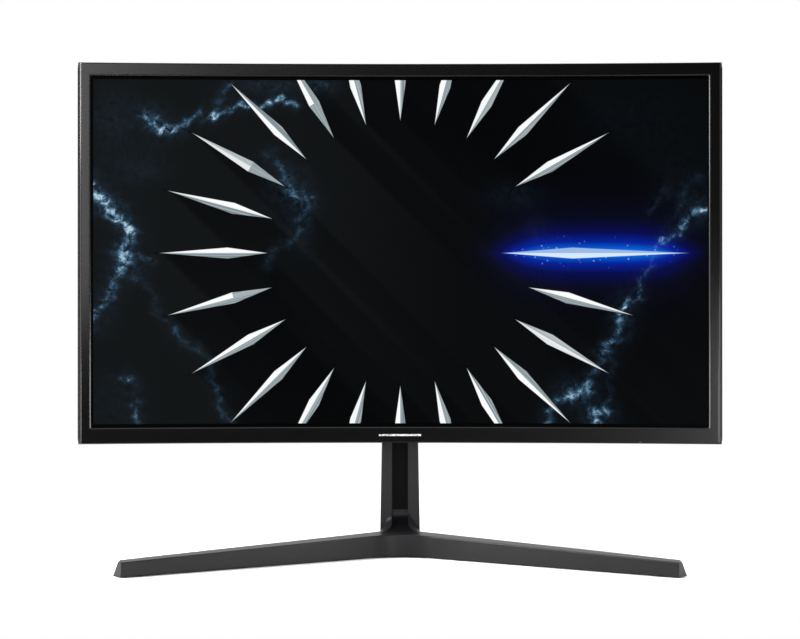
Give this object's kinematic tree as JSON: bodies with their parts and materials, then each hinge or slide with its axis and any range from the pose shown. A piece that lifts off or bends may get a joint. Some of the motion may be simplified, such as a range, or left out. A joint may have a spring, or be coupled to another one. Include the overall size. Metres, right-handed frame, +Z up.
{
  "type": "computer monitor",
  "caption": "Curved wide-screen desk monitor with a slim bezel, on a central neck with a tilt hinge and a wide V-shaped foot.",
  "frame": {"origin": "on the desk, under the centre of the whole object's box", "axes": "+Z up, the screen faces -Y, +X to the right as seen from the front"},
  "size_m": [0.5478, 0.244, 0.4228],
  "materials": {
    "satin_black_abs": "satin moulded ABS",
    "textured_black_abs": "fine spark-textured ABS",
    "panel_glass": "anti-glare coated panel",
    "black_frame_plastic": "moulded polycarbonate",
    "white_film": "white diffusing film",
    "clear_acrylic": "polished acrylic sheet",
    "lamp_bar": "white circuit strip",
    "galvanised_steel": "zinc-coated sheet",
    "circuit_board": "solder-masked glass epoxy",
    "chip_resin": "moulded epoxy",
    "cable_film": "polyester flat cable",
    "port_metal": "nickel-plated shell",
    "port_plastic": "glass-filled nylon",
    "zinc_steel": "zinc-plated pressed steel",
    "bright_steel": "turned steel",
    "screw_steel": "black oxide",
    "bronze": "sintered bronze",
    "neck_plastic": "satin moulded ABS",
    "neck_liner": "dark satin ABS",
    "foot_paint": "fine-grained dark paint",
    "pad_rubber": "moulded rubber",
    "jog_plastic": "satin moulded ABS",
    "lamp_lens": "smoked light pipe",
    "badge_metal": "blank satin bar"
  },
  "bodies": {
    "stand": {"foot_shell": "foot_paint", "root_cover": "foot_paint", "foot_plate": "zinc_steel", "rubber_pads": "pad_rubber", "foot_screws": "screw_steel", "neck_core": "zinc_steel", "neck_front_cover": "neck_plastic", "neck_rear_cover": "neck_plastic", "neck_strip": "neck_liner", "neck_screws": "screw_steel", "hinge_bushes": "bronze"},
    "display": {"front_bezel": "satin_black_abs", "rear_cover": "textured_black_abs", "lcd_cell": "panel_glass", "panel_frame": "black_frame_plastic", "optical_films": "white_film", "light_guide": "clear_acrylic", "reflector_sheet": "white_film", "led_bar": "lamp_bar", "backlight_pan": "galvanised_steel", "mounting_frame": "galvanised_steel", "main_board": "circuit_board", "main_board_tray": "galvanised_steel", "driver_board": "circuit_board", "driver_board_tray": "galvanised_steel", "board_chips": "chip_resin", "driver_parts": "chip_resin", "board_shield": "galvanised_steel", "source_board": "circuit_board", "panel_cable": "cable_film", "port_plate": "galvanised_steel", "video_port_left": "port_metal", "video_port_right": "port_metal", "video_port_wide": "port_metal", "audio_jack": "port_plastic", "power_jack": "port_plastic", "hinge_bracket": "zinc_steel", "hinge_shaft": "bright_steel", "hinge_washers": "bright_steel", "hinge_nuts": "bright_steel", "bracket_bolts": "screw_steel", "jog_board": "circuit_board", "jog_switch": "port_plastic", "power_lens": "lamp_lens", "badge_bar": "badge_metal", "cover_screws": "screw_steel"},
    "thumb_screw": {"thumb_screw": "bright_steel"},
    "screw_ring": {"screw_ring": "bright_steel"},
    "jog_ring": {"jog_gimbal": "port_plastic"},
    "jog_stem": {"jog_stem": "port_plastic"},
    "jog_cap": {"jog_cap": "jog_plastic"}
  },
  "joints": [
    {"name": "tilt", "type": "hinge", "parent": "stand", "child": "display", "pos_m": [0, 0.1, 0.252], "axis": [-1, 0, 0], "range_deg": [-2, 20]},
    {"name": "thumb_turn", "type": "hinge", "parent": "stand", "child": "thumb_screw", "pos_m": [0, 0.101, 0.003], "axis": [0, 0, 1], "continuous": true},
    {"name": "ring_fold", "type": "hinge", "parent": "thumb_screw", "child": "screw_ring", "pos_m": [0, 0.095, 0.0018], "axis": [-1, 0, 0], "range_deg": [0, 90]},
    {"name": "jog_side", "type": "hinge", "parent": "display", "child": "jog_ring", "pos_m": [0.205, 0.0455, 0.112], "axis": [0, 0, 1], "range_deg": [-6, 6], "stiffness_Nm_per_rad": 0.05},
    {"name": "jog_updown", "type": "hinge", "parent": "jog_ring", "child": "jog_stem", "pos_m": [0.205, 0.0455, 0.112], "axis": [1, 0, 0], "range_deg": [-6, 6], "stiffness_Nm_per_rad": 0.05},
    {"name": "jog_press", "type": "slide", "parent": "jog_stem", "child": "jog_cap", "axis": [0, -1, 0], "range_m": [0, 0.0008], "stiffness_N_per_m": 600}
  ]
}
